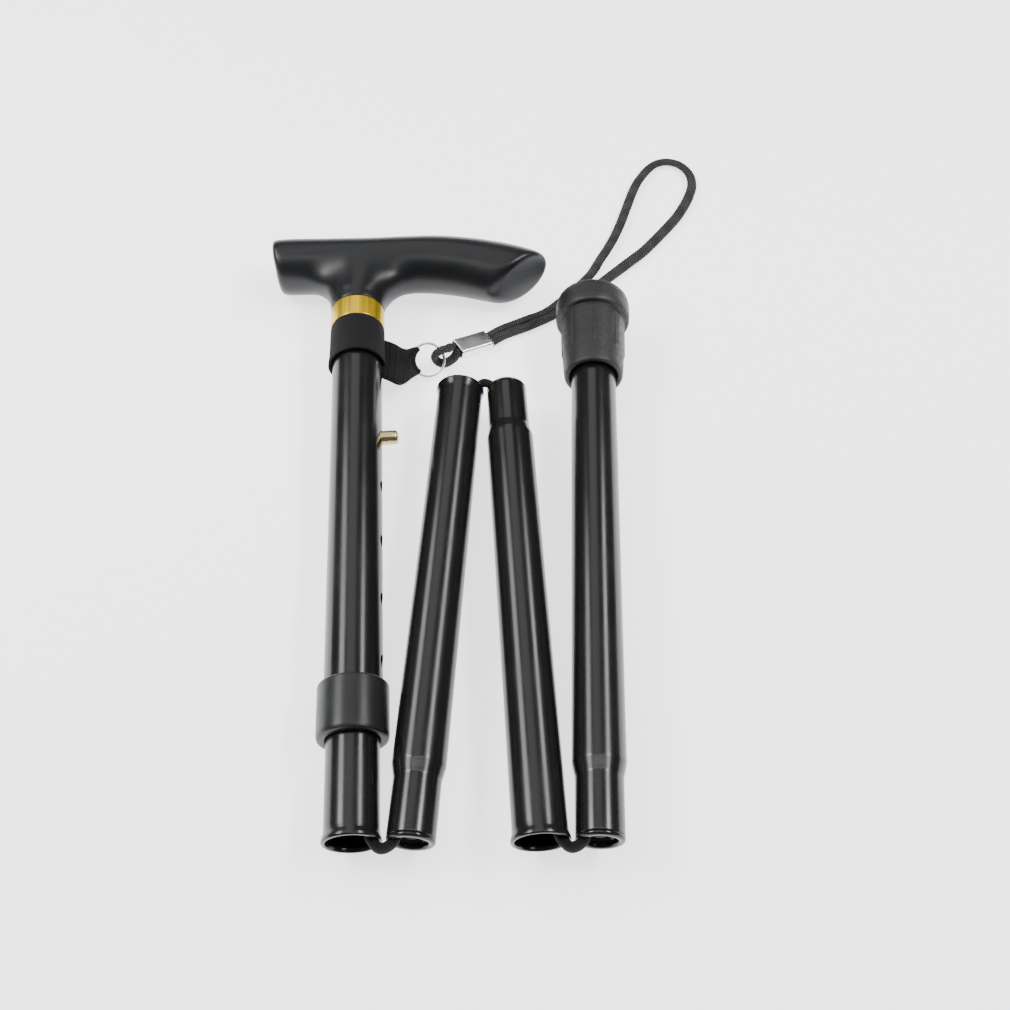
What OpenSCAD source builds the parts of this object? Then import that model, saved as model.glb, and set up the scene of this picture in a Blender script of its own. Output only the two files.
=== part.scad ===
// Folding walking cane with a T-shaped handle, a height-adjustable stem, three
// plug-in lower sections on an elastic cord, a rubber ferrule and a wrist lanyard.
// It lies folded, zig-zag, on a flat surface: X across, Y towards the handle, Z up.

/* [Tubes] */
// Outside diameter of the three lower sections and of the sliding stem tube
tube_d = 19; // [18:0.1:20]
// Outside diameter of the upper stem tube
stem_d = 21.4; // [21.2:0.1:22.4]
// Wall thickness of the lower tubes
wall = 1; // [0.8:0.1:1.2]
// Length of section 2, from its neck to its mouth
section_2_len = 196; // [180:1:200]
// Length of section 3, from its mouth to its neck
section_3_len = 196; // [180:1:200]
// Length of section 4, from its neck to the tip of the ferrule
section_4_len = 246; // [236:1:256]
// Length of the reduced neck that plugs into the section above
neck_len = 22; // [18:1:26]
// Length of the taper between a neck and its tube
shoulder_len = 5; // [3:0.5:8]

/* [Folded layout] */
// Lean of the stem away from the length direction, to the left
stem_lean = 3.7; // [3:0.1:4.5]
// Lean of section 2, to the right
section_2_lean = 3.6; // [3:0.1:4.5]
// Lean of section 3, to the left
section_3_lean = 3.3; // [3:0.1:4.5]
// Lean of section 4, to the right
section_4_lean = 1.9; // [1:0.1:3]
// Distance between a mouth's centre and the neck folded beside it
fold_gap = 19.6; // [19.6:0.1:22]

/* [Height adjustment] */
// Number of height holes
hole_count = 5; // [3:1:5]
// Distance between height holes
hole_pitch = 26; // [20:0.1:26]
// Diameter of the height holes
hole_d = 6.4; // [6.2:0.1:7]
// Diameter of the snap button
button_d = 6; // [5:0.1:6]
// How far the snap button stands out of the stem
button_proud = 6.8; // [3:0.1:7]
// Outside diameter of the locking collar
collar_d = 25.4; // [25:0.1:27]

/* [Handle] */
// Half depth of the handle's arm
grip_half_depth = 13.6; // [12:0.1:15]
// Outside diameter of the metal trim ring
trim_d = 23.8; // [23.4:0.1:25]

/* [Ferrule] */
// Diameter of the ferrule's flange
ferrule_d = 33; // [30:0.5:36]
// Length of the ferrule
ferrule_len = 45; // [40:1:50]

/* [Cords] */
// Diameter of the elastic cord inside the tubes
shock_d = 3.8; // [3:0.1:4]
// Diameter of the lanyard's braided cord
lanyard_d = 3.8; // [3:0.1:4]

/* [Hidden] */
$fn = 64;

// ---- shared sizes ----
tube_r = tube_d / 2;
bore_r = tube_r - wall;
stem_r = stem_d / 2;
run_gap = 0.1;                      // radial clearance of the sliding fits
stem_wall = stem_r - tube_r - run_gap;
neck_r = bore_r - run_gap;
neck_bore_r = neck_r - wall;
flare_r = tube_r + 0.4;             // rolled lip at each mouth
flare_len = 3.5;
shock_r = shock_d / 2;
lanyard_r = lanyard_d / 2;

// Stations along the stem, measured up from the mouth of the sliding tube
collar_bottom = 36;
collar_top = 57;
stem_bottom = 47;                   // lower end of the upper stem tube
button_z = 169.6;
inner_top = button_z + 12;
strap_bottom = 210;
strap_top = 231;
trim_top = 242;
stem_top = 258;

// ---- the folded layout: each section's lower end and lean, in the fold plane ----
stem_x = -50.9;
section_2_x = stem_x + fold_gap;
section_2_top_x = section_2_x + section_2_len * sin(section_2_lean);
section_3_top_x = section_2_top_x + fold_gap;
section_3_x = section_3_top_x + section_3_len * sin(section_3_lean);
section_4_x = section_3_x + fold_gap;
// The fold plane rests on the handle, the collar and the ferrule
plane_height = 13.65;
plane_roll = 1.35;
plane_pitch = 0.47;
// Moves the origin to the middle of the footprint
frame_x = 26.75;
frame_y = -140.15;

module frame_place() {
  translate([frame_x, frame_y, 0])
    children();
}

// From the fold plane to the resting frame
module fold_plane() {
  frame_place()
    translate([0, 0, plane_height])
      rotate([plane_pitch, -plane_roll, 0])
        children();
}

// A section's own frame: +Z runs up along it from its lower end
module section(x, lean) {
  fold_plane()
    translate([x, 0, 0])
      rotate([0, 0, -lean])
        rotate([-90, 0, 0])
          children();
}

module on_stem() { section(stem_x, -stem_lean) children(); }
module on_section_2() { section(section_2_x, section_2_lean) children(); }
// Section 3 is drawn neck down like the others, then turned end for end
module on_section_3() {
  section(section_3_x, -section_3_lean)
    translate([0, 0, section_3_len])
      rotate([0, 180, 0])
        children();
}
module on_section_4() { section(section_4_x, section_4_lean) children(); }

// ---- shared shapes ----
module ring(r_out, r_in, z0, z1) {
  rotate_extrude()
    translate([r_in, z0])
      square([r_out - r_in, z1 - z0]);
}

// A solid of revolution from a list of [radius, height] points
module turned(points) {
  rotate_extrude()
    polygon(points);
}

function catmull(p0, p1, p2, p3, t) =
  0.5 * ((2 * p1) + (p2 - p0) * t + (2 * p0 - 5 * p1 + 4 * p2 - p3) * t * t
    + (3 * p1 - p0 - 3 * p2 + p3) * t * t * t);

// A smooth path through the points, with "steps" rings from each point to the next
function smooth_path(points, steps) =
  let (last = len(points) - 1)
  concat(
    [for (i = [0 : last - 1], k = [0 : steps - 1])
      catmull(points[max(i - 1, 0)], points[i], points[i + 1],
        points[min(i + 2, last)], k / steps)],
    [points[last]]
  );

function unit(v) = v / norm(v);

function tangent(path, i) =
  unit(path[min(i + 1, len(path) - 1)] - path[max(i - 1, 0)]);

// A closed body through rings of points, each ring with the same number of sides
module skin(points, sides) {
  count = len(points) / sides;
  polyhedron(
    points = points,
    faces = concat(
      [[for (k = [0 : sides - 1]) k]],
      [for (i = [0 : count - 2], k = [0 : sides - 1])
        [i * sides + k, (i + 1) * sides + k,
          (i + 1) * sides + (k + 1) % sides, i * sides + (k + 1) % sides]],
      [[for (k = [sides - 1 : -1 : 0]) (count - 1) * sides + k]]
    )
  );
}

// Tube of constant radius along a path that never runs straight along "up"
module swept_cord(path, radius, sides, up) {
  points = [for (i = [0 : len(path) - 1])
    let (t = tangent(path, i), s = unit(cross(t, up)), n = cross(s, t))
    for (k = [0 : sides - 1])
      path[i] + radius * (cos(360 * k / sides) * s - sin(360 * k / sides) * n)];
  skin(points, sides);
}

// ---- handle ----
// Each station of the arm: [across, up the stem, lean of the section, half height,
// share of the half depth]
arm_stations = [
  [-38.3, 274.4, -6, 10.8, 0.82],
  [-38.0, 274.4, -6, 11.9, 0.90],
  [-37.2, 274.4, -6, 12.6, 0.95],
  [-35.4, 274.4, -4, 12.9, 0.97],
  [-28, 274.2, 0, 12.9, 0.98],
  [-12, 272.9, 0, 12.9, 0.99],
  [6, 271.7, 0, 12.9, 1],
  [22, 271.0, 2, 13.1, 1],
  [36, 270.0, 6, 13.5, 1],
  [48.5, 267.6, 15, 13.9, 1],
  [58.5, 264.6, 28, 14.5, 1],
  [66.3, 261.7, 41, 15.4, 0.99],
  [71.3, 259.5, 50, 16.2, 0.97],
  [73.9, 258.3, 54, 16.1, 0.94],
  [75.1, 257.6, 56, 15.2, 0.88],
  [75.7, 257.3, 56, 13.6, 0.79]
];
// The neck that blends the arm into the stem: [up the stem, half width, half depth, shift]
neck_stations = [
  [trim_top, 12.0, 12.0, 0],
  [246, 12.3, 12.1, 0],
  [250, 13.8, 12.4, 0.6],
  [253.5, 16.6, 12.6, 1.4],
  [256.5, 20.2, 12.4, 2.2],
  [259, 24.5, 11.4, 3],
  [263, 27, 9.5, 3]
];
grip_sides = 36;

module arm_shape() {
  stations = smooth_path(arm_stations, 2);
  points = [for (s = stations, k = [0 : grip_sides - 1])
    let (a = -360 * k / grip_sides, h = s[3] * cos(a),
      w = s[4] * grip_half_depth * sin(a))
    [s[0] + h * sin(s[2]), w, s[1] + h * cos(s[2])]];
  skin(points, grip_sides);
}

module neck_shape() {
  points = [for (s = neck_stations, k = [0 : grip_sides - 1])
    let (a = 360 * k / grip_sides)
    [s[3] + s[1] * cos(a), s[2] * sin(a), s[0]]];
  skin(points, grip_sides);
}

screw_r = 2;
screw_head_r = 4;
screw_head_h = 3;
screw_bottom = 244;
screw_len = 26;
cut = 1;                            // how far a cutting shape reaches past the material

module handle_grip() {
  color([0.06, 0.06, 0.06])
    on_stem()
      difference() {
        union() {
          arm_shape();
          neck_shape();
        }
        translate([0, 0, trim_top - cut])
          cylinder(r = stem_r, h = stem_top - trim_top + cut);
        translate([0, 0, stem_top - cut])
          cylinder(r = screw_r, h = screw_bottom + screw_len - stem_top + 2 * cut);
      }
}

// Plastic plug that fills the upper end of the stem tube and takes the screw
module stem_plug() {
  color([0.2, 0.2, 0.2])
    on_stem()
      difference() {
        translate([0, 0, screw_bottom + screw_head_h])
          cylinder(r = stem_r - stem_wall, h = stem_top - screw_bottom - screw_head_h);
        translate([0, 0, screw_bottom])
          cylinder(r = screw_r, h = screw_len + 2 * cut);
      }
}

// Screw that holds the handle down on the stem plug
module handle_screw() {
  color([0.75, 0.75, 0.75])
    on_stem()
      difference() {
        translate([0, 0, screw_bottom])
          union() {
            cylinder(r = screw_head_r, h = screw_head_h);
            translate([0, 0, cut])
              cylinder(r = screw_r, h = screw_len - cut);
          }
        for (turn = [0, 90])
          translate([0, 0, screw_bottom + 0.6])
            rotate([0, 0, turn])
              cube([5, 1, 1.3], center = true);
      }
}

module trim_ring() {
  edge = 0.4;
  color([0.85, 0.65, 0.2])
    on_stem()
      turned([
        [stem_r, strap_top], [trim_d / 2 - edge, strap_top],
        [trim_d / 2, strap_top + edge], [trim_d / 2, trim_top - edge],
        [trim_d / 2 - edge, trim_top], [stem_r, trim_top]
      ]);
}

// ---- stem ----
module outer_tube() {
  color([0.07, 0.07, 0.08])
    on_stem()
      difference() {
        ring(stem_r, stem_r - stem_wall, stem_bottom, stem_top);
        for (i = [0 : hole_count - 1])
          translate([0, 0, button_z - i * hole_pitch])
            rotate([0, 90, 0])
              cylinder(d = hole_d, h = stem_r + 2);
      }
}

// Slotted clamping sleeve on the end of the upper stem tube
collet_r = stem_r + 0.8;
collet_grip_z = collar_bottom + 2.5;
module collet() {
  slot_w = 1.6;
  color([0.12, 0.12, 0.12])
    on_stem()
      difference() {
        turned([
          [tube_r + run_gap, collet_grip_z], [collet_r - 0.6, collet_grip_z],
          [collet_r, collet_grip_z + 2], [collet_r, collar_top - 1],
          [stem_r, collar_top - 1], [stem_r, stem_bottom],
          [tube_r + run_gap, stem_bottom]
        ]);
        for (turn = [45, 135])
          rotate([0, 0, turn])
            translate([0, 0, collet_grip_z + 3])
              cube([collar_d, slot_w, 9], center = true);
      }
}

// Twist collar that squeezes the collet onto the sliding tube
module locking_collar() {
  collar_r = collar_d / 2;
  bore = tube_r + 0.25;
  color([0.14, 0.14, 0.15])
    on_stem()
      turned([
        [bore, collar_bottom], [collar_r - 1.6, collar_bottom],
        [collar_r - 0.5, collar_bottom + 0.5], [collar_r, collar_bottom + 1.8],
        [collar_r, collar_top - 1.6], [collar_r - 0.4, collar_top - 0.5],
        [collar_r - 1.1, collar_top],
        [collet_r + run_gap, collar_top], [collet_r + run_gap, collet_grip_z - 0.4],
        [bore, collet_grip_z - 0.4]
      ]);
}

// Section through one side of a tube's mouth lip, mouth at z = 0
lip = [[tube_r, flare_len], [tube_r + 0.1, 2.4], [flare_r - 0.1, 1.1], [flare_r, 0.5],
  [flare_r - 0.3, 0], [bore_r + 0.2, 0], [bore_r, 0.3], [bore_r, flare_len]];

module inner_tube() {
  color([0.07, 0.07, 0.08])
    on_stem()
      difference() {
        union() {
          ring(tube_r, bore_r, flare_len, inner_top);
          turned(lip);
        }
        translate([0, 0, button_z])
          rotate([0, 90, 0])
            cylinder(d = hole_d, h = tube_r + 2);
      }
}

button_root = 7.2;                  // where the button joins its spring, from the axis
spring_thick = 0.5;

// Button that locks the height; its flange sits behind the tube wall
module snap_button() {
  flange_r = 3.4;
  tip = stem_r + button_proud;
  color([0.8, 0.68, 0.4])
    on_stem()
      translate([button_root, 0, button_z])
        rotate([0, 90, 0])
          turned([
            [0, 0], [flange_r, 0], [flange_r, 0.5], [button_d / 2, 0.5],
            [button_d / 2, tip - button_root - 0.8],
            [button_d / 2 - 0.8, tip - button_root], [0, tip - button_root]
          ]);
}

// Bent strip of spring steel that pushes the button out
module button_spring() {
  width = 7;
  left = -7.1;
  right = button_root - 0.1;
  low = button_z - 22;
  high = button_z + 6;
  color([0.7, 0.7, 0.72])
    on_stem()
      translate([0, width / 2, 0])
        rotate([90, 0, 0])
          linear_extrude(width)
            polygon([
              [left, high - 2], [left, low + 8], [left + 1.6, low + 3], [0, low],
              [4, low + 5], [right - spring_thick, button_z - 5],
              [right - spring_thick, high], [right, high], [right, button_z - 5.2],
              [4 + spring_thick, low + 4.6], [0.2, low - spring_thick],
              [left + 1.2, low + 2.6], [left - spring_thick, low + 7.8],
              [left - spring_thick, high - 2]
            ]);
}

// Disc fixed in a tube that the elastic cord is knotted against
anchor_len = 4;
module cord_anchor(z) {
  difference() {
    translate([0, 0, z])
      cylinder(r = bore_r, h = anchor_len);
    translate([0, 0, z - cut])
      cylinder(r = shock_r, h = anchor_len + 2 * cut);
  }
}

upper_anchor_z = 126;
lower_anchor_z = 150;
knot_r = 3.6;                       // end knot above an anchor
stop_knot_r = 2.8;                  // small knot below the upper anchor

module upper_cord_anchor() {
  color([0.5, 0.5, 0.5])
    on_stem()
      cord_anchor(upper_anchor_z);
}

module lower_cord_anchor() {
  color([0.5, 0.5, 0.5])
    on_section_4()
      cord_anchor(lower_anchor_z);
}

// ---- elastic cord ----
// A straight run of cord between two points of a section's own frame
module cord_run(from, to) {
  run = to - from;
  translate(from)
    rotate([0, acos(run[2] / norm(run)) * sign(run[0] == 0 ? 1 : run[0]), 0])
      cylinder(r = shock_r, h = norm(run));
}

// At a mouth the cord leans on the inside of the wall
mouth_lean_x = 5.9;
mouth_run_z = 3;
cord_gap = 0.15;                    // between the cord's own pieces on two bodies

module shock_cord_1() {
  color([0.1, 0.1, 0.1])
    on_stem() {
      cord_run([mouth_lean_x, 0, mouth_run_z], [0, 0, upper_anchor_z - stop_knot_r]);
      translate([0, 0, upper_anchor_z - stop_knot_r])
        sphere(r = stop_knot_r);
      translate([0, 0, upper_anchor_z - stop_knot_r])
        cylinder(r = shock_r, h = anchor_len + 2 * stop_knot_r);
      translate([0, 0, upper_anchor_z + anchor_len + knot_r - 0.6])
        sphere(r = knot_r);
    }
}

module passing_cord(length, side) {
  color([0.1, 0.1, 0.1])
    cord_run([0, 0, 2], [side * mouth_lean_x, 0, length - mouth_run_z]);
}

module shock_cord_2() { on_section_2() passing_cord(section_2_len, 1); }
module shock_cord_3() { on_section_3() passing_cord(section_3_len, -1); }

module shock_cord_4() {
  color([0.1, 0.1, 0.1])
    on_section_4() {
      translate([0, 0, 2])
        cylinder(r = shock_r, h = lower_anchor_z + anchor_len - 1);
      translate([0, 0, lower_anchor_z + anchor_len + knot_r - 0.6])
        sphere(r = knot_r);
    }
}

// The cord's short crossing from a mouth to the neck folded beside it. In the fold
// plane: "dir" is 1 when the mouth is at the lower end, -1 at the upper end.
bend_out = 2.7;
module shock_bend(mouth, mouth_lean, neck, neck_lean, dir) {
  in_mouth = mouth + dir * (mouth_run_z - cord_gap) * [sin(mouth_lean), cos(mouth_lean)]
    + mouth_lean_x * [cos(mouth_lean), -sin(mouth_lean)];
  in_neck = neck + dir * (2 - cord_gap) * [sin(neck_lean), cos(neck_lean)];
  rim = mouth + [flare_r - 1.2, -dir * bend_out];
  across = neck + [-4.4, -dir * bend_out];
  path = smooth_path([for (p = [in_mouth, mouth + [mouth_lean_x + 0.3, dir * 0.6],
    rim, across, neck + [-0.5, -dir * 1.1], in_neck]) [p[0], p[1], 0]], 2);
  color([0.1, 0.1, 0.1])
    fold_plane()
      swept_cord(path, shock_r, 8, [0, 0, dir]);
}

module shock_bend_1() {
  shock_bend([stem_x, 0], -stem_lean, [section_2_x, 0], section_2_lean, 1);
}

section_2_mouth = [section_2_top_x, section_2_len * cos(section_2_lean)];
section_3_neck = [section_3_top_x, section_3_len * cos(section_3_lean)];
module shock_bend_2() {
  shock_bend(section_2_mouth, section_2_lean, section_3_neck, -section_3_lean, -1);
}

module shock_bend_3() {
  shock_bend([section_3_x, 0], -section_3_lean, [section_4_x, 0], section_4_lean, 1);
}

// ---- lower sections ----
bush_face = 1.5;                    // thickness of the end bush's flange

// Tube with a reduced neck below and, if it has a mouth, a rolled lip above
module necked_tube(length, has_mouth) {
  top = has_mouth ? length - flare_len : length;
  turned([
    [neck_bore_r, bush_face], [neck_r, bush_face], [neck_r, neck_len],
    [neck_r + 0.25, neck_len + 1.2], [tube_r - 0.25, neck_len + shoulder_len - 1.2],
    [tube_r, neck_len + shoulder_len], [tube_r, top], [bore_r, top],
    [bore_r, neck_len + shoulder_len + 1], [neck_bore_r, neck_len + 1]
  ]);
  if (has_mouth)
    translate([0, 0, length])
      mirror([0, 0, 1])
        turned(lip);
}

// Plastic bush in the end of a neck, with the hole that the elastic cord runs through
module neck_bush() {
  hole_r = shock_r + 0.5;
  color([0.1, 0.1, 0.1])
    turned([
      [hole_r + 0.8, 0], [neck_r - 0.6, 0], [neck_r, 0.6], [neck_r, bush_face],
      [neck_bore_r, bush_face], [neck_bore_r, 10], [hole_r + 1.2, 10],
      [hole_r, 8.8], [hole_r, 0.8]
    ]);
}

module tube_2() { color([0.07, 0.07, 0.08]) on_section_2() necked_tube(section_2_len, true); }
module tube_3() { color([0.07, 0.07, 0.08]) on_section_3() necked_tube(section_3_len, true); }
module neck_bush_2() { on_section_2() neck_bush(); }
module neck_bush_3() { on_section_3() neck_bush(); }
module neck_bush_4() { on_section_4() neck_bush(); }

// ---- foot ----
ferrule_mouth = section_4_len - ferrule_len;
ferrule_floor = section_4_len - 8;  // where the tube's end stops inside the rubber
washer_thick = 1.5;
tube_4_end = ferrule_floor - washer_thick;

module tube_4() {
  color([0.07, 0.07, 0.08])
    on_section_4()
      necked_tube(tube_4_end, false);
}

module ferrule_washer() {
  color([0.7, 0.7, 0.7])
    on_section_4()
      ring(tube_r, 3, tube_4_end, ferrule_floor);
}

module ferrule() {
  flange_r = ferrule_d / 2;
  flange_low = section_4_len - 13;
  tread_grooves = [6, 9.5, 13];
  color([0.1, 0.1, 0.1])
    on_section_4()
      difference() {
        union() {
          turned([
            [tube_r, ferrule_mouth + 1.5], [tube_r + 0.6, ferrule_mouth + 0.3],
            [tube_r + 2, ferrule_mouth], [tube_r + 3, ferrule_mouth + 1],
            [tube_r + 3.5, ferrule_mouth + 3.5], [tube_r + 3.9, ferrule_mouth + 12],
            [tube_r + 4.8, flange_low - 0.5], [flange_r - 0.9, flange_low],
            [flange_r - 0.2, flange_low + 1], [flange_r, flange_low + 3],
            [flange_r - 0.1, section_4_len - 4], [flange_r - 0.7, section_4_len - 1.2],
            [flange_r - 2, section_4_len], [0, section_4_len],
            [0, ferrule_floor], [tube_r, ferrule_floor]
          ]);
          for (turn = [0 : 45 : 315])
            rotate([0, 0, turn])
              translate([tube_r + 1, -0.7, ferrule_mouth + 12])
                cube([3.7, 1.4, flange_low - ferrule_mouth - 11.5]);
        }
        for (r = tread_grooves)
          ring(r + 0.8, r - 0.8, section_4_len - 1.6, section_4_len + 1);
      }
}

// ---- wrist strap and lanyard ----
strap_r = stem_r + 1.4;

// Knitted elastic band round the stem, under the trim ring
module strap_band() {
  color([0.05, 0.05, 0.05])
    on_stem()
      turned([
        [stem_r, strap_bottom], [strap_r - 0.4, strap_bottom], [strap_r, strap_bottom + 0.5],
        [strap_r, strap_top - 0.5], [strap_r - 0.4, strap_top], [stem_r, strap_top]
      ]);
}

// The split ring leans back, its near edge on the surface
ring_at = [-34.5, 220, 6.6];
ring_tilt = 45;
ring_major_r = 7.3;
ring_wire_r = 0.6;

module ring_place() {
  frame_place()
    translate(ring_at)
      rotate([ring_tilt, 0, 0])
        children();
}

module split_ring() {
  color([0.8, 0.8, 0.8])
    ring_place()
      for (side = [-1, 1])
        rotate_extrude()
          translate([ring_major_r, side * ring_wire_r * 0.9])
            circle(r = ring_wire_r);
}

// Folded end of the band: it leaves the stem's side, drops and holds the ring
module strap_tab() {
  channel_r = ring_wire_r * 2 + 0.3;
  color([0.05, 0.05, 0.05])
    difference() {
      frame_place() {
        hull() {
          translate([-54.2, 205, 10.5]) cube([1, 21.5, 3]);
          translate([-45, 203.5, 6.6]) cube([0.5, 20.5, 3]);
        }
        hull() {
          translate([-45, 203.5, 6.6]) cube([0.5, 20.5, 3]);
          translate([-40.5, 208.5, 3.6]) cube([0.5, 3, 4.4]);
          translate([-40.5, 222, 7.2]) cube([0.5, 3, 3.4]);
        }
      }
      on_stem()
        cylinder(r = strap_r, h = trim_top);
      ring_place()
        rotate_extrude()
          translate([ring_major_r, 0])
            circle(r = channel_r);
      ring_place()
        cylinder(r = ring_major_r, h = 14, center = true);
    }
}

// Flat metal sleeve that pinches the cord's two strands together; its ring end is
// held up by the split ring
crimp_at = [-14.8, 231.8, 3.95];
crimp_turn = 32;
crimp_drop = 11;
crimp_len = 16.5;
crimp_half_w = 4.4;
crimp_half_h = 2.3;
strand_gap = 1.95;                  // from the crimp's middle to each strand

module crimp_place() {
  frame_place()
    translate(crimp_at)
      rotate([0, crimp_drop, crimp_turn])
        children();
}

module rounded_bar(half_w, half_h, r) {
  hull()
    for (x = [-1, 1], y = [-1, 1])
      translate([x * (half_w - r), y * (half_h - r)])
        circle(r = r, $fn = 24);
}

module lanyard_crimp() {
  color([0.8, 0.8, 0.8])
    crimp_place()
      difference() {
        translate([-crimp_len / 2, 0, 0])
          rotate([90, 0, 90])
            linear_extrude(crimp_len)
              rounded_bar(crimp_half_w, crimp_half_h, 1.4);
        for (side = [-1, 1])
          translate([0, side * strand_gap, 0])
            rotate([0, 90, 0])
              cylinder(r = lanyard_r, h = crimp_len + 2, center = true);
      }
}

// The lanyard's route: from inside the crimp past the ferrule, round the wrist loop,
// back through the crimp, round the split ring and into the crimp again
lanyard_route = [
  [-16, 233.4, 4], [-9, 237.7, 2.4], [-2, 243.2, 2], [9, 249, 2], [21, 256, 2],
  [39.5, 277, 2], [46, 289, 2], [52, 301, 2], [57.5, 315, 2], [65.5, 340, 2],
  [70.5, 351, 2], [77, 360, 2], [84, 363, 2], [91, 360.5, 2], [95.5, 353, 2],
  [96, 344, 2], [93.5, 335.5, 2], [90, 327.5, 2], [84, 317, 2], [69.5, 297.5, 2],
  [61, 288.5, 2], [43, 270.5, 2], [33, 261, 2], [23, 252.5, 2], [11, 245.2, 2],
  [0, 239.8, 2], [-7, 234.4, 2.4], [-13.8, 230.2, 3.9], [-20.6, 225.9, 5.5], [-23.6, 223.2, 3.9],
  [-27.3, 221.6, 2.7], [-30, 221.2, 4.2], [-31.3, 220.6, 7.2], [-30.9, 219.9, 10.4], [-28.5, 220.5, 12.4],
  [-26.8, 221.4, 12.2], [-25.2, 223.2, 10.8], [-24.6, 226.4, 8.2], [-22.7, 229.2, 5.5], [-16.6, 233.1, 4.1]
];

module lanyard_cord() {
  color([0.05, 0.05, 0.05])
    frame_place()
      swept_cord(lanyard_route, lanyard_r, 8, [0, 0.4, 0.92]);
}

handle_grip();
stem_plug();
handle_screw();
trim_ring();
outer_tube();
collet();
strap_band();
strap_tab();
lanyard_cord();
lanyard_crimp();
split_ring();
locking_collar();
inner_tube();
button_spring();
snap_button();
upper_cord_anchor();
shock_cord_1();
shock_bend_1();
tube_2();
neck_bush_2();
shock_cord_2();
shock_bend_2();
tube_3();
neck_bush_3();
shock_cord_3();
shock_bend_3();
tube_4();
neck_bush_4();
shock_cord_4();
lower_cord_anchor();
ferrule();
ferrule_washer();
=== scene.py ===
"""The looks of a folding walking cane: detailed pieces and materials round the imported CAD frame.

Shapes are drawn in millimetres in each part's own frame and placed in the row frame in metres.
"""

import math

import bmesh
import bpy
import numpy as np
from mathutils import Matrix, Vector


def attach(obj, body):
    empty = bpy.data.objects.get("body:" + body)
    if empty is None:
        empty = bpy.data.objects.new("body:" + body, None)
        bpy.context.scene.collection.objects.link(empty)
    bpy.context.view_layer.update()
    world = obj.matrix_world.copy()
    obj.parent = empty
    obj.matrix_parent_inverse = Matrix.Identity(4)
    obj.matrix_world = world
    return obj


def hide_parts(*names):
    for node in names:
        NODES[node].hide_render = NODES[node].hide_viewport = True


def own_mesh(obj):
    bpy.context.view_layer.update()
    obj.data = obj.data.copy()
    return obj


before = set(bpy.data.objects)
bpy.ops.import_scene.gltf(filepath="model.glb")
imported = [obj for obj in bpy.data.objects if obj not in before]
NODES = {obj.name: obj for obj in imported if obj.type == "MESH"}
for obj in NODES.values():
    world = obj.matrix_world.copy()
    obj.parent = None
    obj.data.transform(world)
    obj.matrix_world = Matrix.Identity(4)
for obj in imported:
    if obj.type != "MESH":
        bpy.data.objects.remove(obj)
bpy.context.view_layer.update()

MM = 0.001
TURN = 2 * math.pi

# ---- driving sizes, in millimetres, as the CAD part has them ----
TUBE_R = 9.5
BORE_R = 8.5
STEM_R = 10.7
STEM_BORE_R = 9.6
NECK_R = 8.4
NECK_BORE_R = 7.4
FLARE_R = 10.2
SHOCK_R = 1.9
SECTION_2_LEN = 196
SECTION_3_LEN = 196
SECTION_4_LEN = 246
NECK_LEN = 22
SHOULDER_LEN = 5
FOLD_GAP = 19.6
STEM_X = -50.9
STEM_LEAN = -3.7
SECTION_2_LEAN = 3.6
SECTION_3_LEAN = -3.3
SECTION_4_LEAN = 1.9
PLANE_HEIGHT = 13.65
PLANE_ROLL = 1.35
PLANE_PITCH = 0.47
FRAME_SHIFT = Vector((26.75, -140.15, 0))

# Stations along the stem, from the sliding tube's mouth
COLLAR_BOTTOM, COLLAR_TOP = 36, 57
STEM_BOTTOM, STEM_TOP = 47, 258
BUTTON_Z = 169.6
INNER_TOP = BUTTON_Z + 12
HOLE_PITCH = 26
HOLE_COUNT = 5
HOLE_R = 3.2
STRAP_BOTTOM, STRAP_TOP = 210, 231
TRIM_TOP = 242

# ---- sizes of the looks, in millimetres ----
COLLAR_R = 13.0
TRIM_R = 11.9
BUTTON_ROOT = 7.2
BUTTON_R = 3.0
BUTTON_PROUD = 6.8
FERRULE_LEN = 45
FERRULE_FLOOR = 8
FLANGE_LEN = 13
FLANGE_R = 16.5
WASHER_THICK = 1.5
BRAID_STRANDS = 8
BRAID_CELL = 1.6
# A strand's crown: how steeply it rises, and how low it dips where it goes under
CROWN_POWER = 1.2
CROWN_DIP = 0.55
TUBE_SIDES = 128
TUBE_STEP = 3.0
WELD = 0.002
SHARP_ANGLE = math.radians(50)


# ---- frames ----
def sine(degrees):
    return math.sin(math.radians(degrees))


def cosine(degrees):
    return math.cos(math.radians(degrees))


def clamped(value):
    return min(max(value, 0), 1)


def shift(x, y=0, z=0):
    return Matrix.Translation((x, y, z))


def rotated(degrees, axis):
    return Matrix.Rotation(math.radians(degrees), 4, axis)


ROW = Matrix.Scale(MM, 4) @ Matrix.Translation(FRAME_SHIFT)
FOLD_PLANE = ROW @ shift(0, 0, PLANE_HEIGHT) @ rotated(-PLANE_ROLL, "Y") @ rotated(PLANE_PITCH, "X")


def section(x, lean):
    """A section's own frame: +Z runs up along it and +Y points down at the floor."""
    return FOLD_PLANE @ shift(x) @ rotated(-lean, "Z") @ rotated(-90, "X")


SECTION_2_X = STEM_X + FOLD_GAP
SECTION_2_TOP = (
    SECTION_2_X + SECTION_2_LEN * sine(SECTION_2_LEAN),
    SECTION_2_LEN * cosine(SECTION_2_LEAN),
)
SECTION_3_TOP_X = SECTION_2_TOP[0] + FOLD_GAP
SECTION_3_X = SECTION_3_TOP_X + SECTION_3_LEN * sine(-SECTION_3_LEAN)
SECTION_3_NECK = (SECTION_3_TOP_X, SECTION_3_LEN * cosine(SECTION_3_LEAN))
SECTION_4_X = SECTION_3_X + FOLD_GAP

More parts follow.
